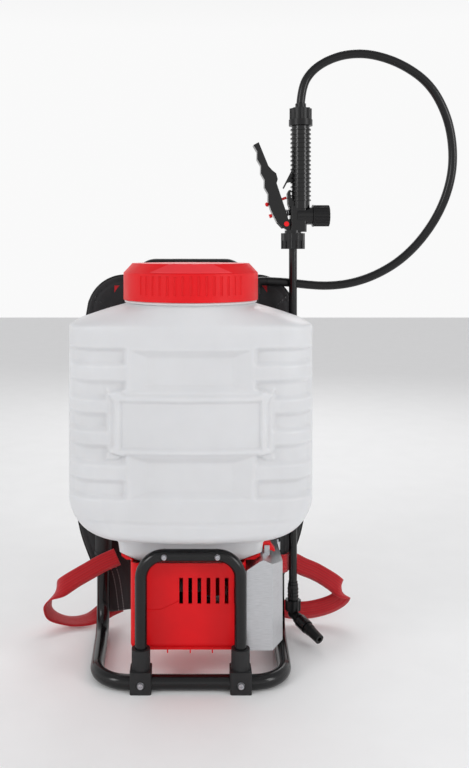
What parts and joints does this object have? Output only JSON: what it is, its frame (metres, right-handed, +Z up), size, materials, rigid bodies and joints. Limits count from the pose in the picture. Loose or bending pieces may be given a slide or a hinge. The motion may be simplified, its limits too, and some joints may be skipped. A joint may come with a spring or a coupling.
{
  "type": "backpack sprayer",
  "caption": "Battery-powered backpack sprayer: white tank with a screw lid on a black tube frame, red pump housing, padded harness, hose and shut-off handle with a spray lance.",
  "frame": {"origin": "on the floor, midway between the two uprights and between the front and back of the frame", "axes": "+Z up, -Y towards the front of the tank, +X towards the lance side"},
  "size_m": [0.6182, 0.2293, 0.8715],
  "materials": {
    "black_steel": "gloss",
    "black_plastic": "fine texture",
    "tank_white": "translucent satin",
    "red_plastic": "satin",
    "zinc_screw": "zinc",
    "seal_rubber": "matte",
    "brushed_cover": "brushed",
    "motor_steel": "zinc",
    "spring_steel": "bright",
    "hose_black": "gloss",
    "clear_tube": "satin",
    "pad_black": "padded",
    "webbing_red": "woven",
    "gauze": "woven"
  },
  "bodies": {
    "sprayer": {"back_pad": "pad_black", "back_panel": "pad_black", "base_frame": "black_steel", "battery_pack": "black_plastic", "carry_handle": "black_plastic", "case_screws": "zinc_screw", "cover_hinge_bracket": "black_steel", "cover_hinge_pin": "zinc_screw", "elbow_nut": "black_plastic", "frame_end_caps": "black_plastic", "front_guard": "black_steel", "guard_screws": "zinc_screw", "guard_sockets": "black_plastic", "handle_body": "black_plastic", "hose": "hose_black", "hose_elbow": "black_plastic", "hose_ferrule": "black_plastic", "hose_riser": "hose_black", "housing_front": "red_plastic", "housing_rear": "red_plastic", "outlet_elbow": "black_plastic", "panel_clips": "black_plastic", "pump_cradle": "black_plastic", "pump_head": "black_plastic", "pump_inlet_tube": "clear_tube", "pump_motor": "motor_steel", "pump_outlet_tube": "clear_tube", "shoulder_strap_left": "pad_black", "shoulder_strap_right": "pad_black", "strainer_basket": "black_plastic", "strap_anchors": "webbing_red", "sump_ears": "red_plastic", "switch_frame": "black_plastic", "tank": "tank_white", "tank_clamps": "black_plastic", "terminal_block": "black_plastic", "trigger_pin": "red_plastic", "upright_sleeves": "black_plastic", "valve_spring": "spring_steel", "wand_clips": "black_plastic", "wand_collar": "black_plastic", "wand_tube": "black_plastic", "webbing_loop_left": "webbing_red", "webbing_loop_right": "webbing_red"},
    "lid_ring": {"lid_gasket": "seal_rubber"},
    "screw_lid": {"lid": "red_plastic"},
    "battery_door": {"battery_cover": "brushed_cover"},
    "door_catch": {"battery_latch": "red_plastic"},
    "rocker": {"power_switch": "red_plastic"},
    "trigger": {"trigger_lever": "black_plastic", "trigger_knob": "red_plastic"},
    "lock": {"trigger_lock": "red_plastic"},
    "plunger": {"valve_plunger": "black_plastic"},
    "filter": {"filter_cap": "black_plastic", "filter_screen": "gauze"},
    "nozzle_arm": {"nozzle_elbow": "black_plastic", "nozzle_nut": "black_plastic"},
    "spray_tip": {"nozzle_tip": "black_plastic"},
    "lance_nut": {"wand_nut": "black_plastic"},
    "tail_nut": {"hose_nut": "black_plastic"}
  },
  "joints": [
    {"name": "lid_lift", "type": "slide", "parent": "sprayer", "child": "lid_ring", "axis": [0, 0, 1], "range_m": [0, 0.09]},
    {"name": "lid_turn", "type": "hinge", "parent": "lid_ring", "child": "screw_lid", "pos_m": [0, -0.022, 0.5], "axis": [0, 0, 1], "continuous": true},
    {"name": "battery_door_swing", "type": "hinge", "parent": "sprayer", "child": "battery_door", "pos_m": [0.128, 0.061, 0.1], "axis": [0, 0, 1], "range_deg": [0, 80]},
    {"name": "door_catch_lift", "type": "hinge", "parent": "battery_door", "child": "door_catch", "pos_m": [0.104, -0.026, 0.1668], "axis": [0, 1, 0], "range_deg": [0, 30], "stiffness_Nm_per_rad": 0.03, "springref_deg": -20.05},
    {"name": "power_rocker", "type": "hinge", "parent": "sprayer", "child": "rocker", "pos_m": [-0.0795, 0.03, 0.111], "axis": [0, 1, 0], "range_deg": [0, 9]},
    {"name": "trigger_squeeze", "type": "hinge", "parent": "sprayer", "child": "trigger", "pos_m": [0.1416, 0.073, 0.6105], "axis": [0, 1, 0], "range_deg": [0, 7], "stiffness_Nm_per_rad": 0.8, "springref_deg": -14.32},
    {"name": "trigger_lock_push", "type": "slide", "parent": "trigger", "child": "lock", "axis": [-0.9429, 0, -0.3332], "range_m": [0, 0.004]},
    {"name": "valve_plunger_push", "type": "slide", "parent": "sprayer", "child": "plunger", "axis": [1, 0, 0], "range_m": [0, 0.003], "deforming": ["valve_spring"]},
    {"name": "filter_cap_turn", "type": "hinge", "parent": "sprayer", "child": "filter", "pos_m": [0.19, 0.073, 0.623], "axis": [1, 0, 0], "continuous": true},
    {"name": "nozzle_swivel", "type": "hinge", "parent": "sprayer", "child": "nozzle_arm", "pos_m": [0.1525, 0.073, 0.04], "axis": [0, 0, 1], "range_deg": [-30, 50]},
    {"name": "spray_tip_turn", "type": "hinge", "parent": "nozzle_arm", "child": "spray_tip", "pos_m": [0.1525, 0.073, 0.03], "axis": [0.5113, -0.8221, -0.2506], "continuous": true},
    {"name": "lance_nut_turn", "type": "hinge", "parent": "sprayer", "child": "lance_nut", "pos_m": [0.1525, 0.073, 0.585], "axis": [0, 0, 1], "continuous": true},
    {"name": "tail_nut_turn", "type": "hinge", "parent": "sprayer", "child": "tail_nut", "pos_m": [0.164, 0.073, 0.77], "axis": [0, 0, 1], "continuous": true}
  ],
  "couplings": [
    {"joint": "valve_plunger_push", "follows": "trigger_squeeze", "m_per_rad": 0.017}
  ]
}
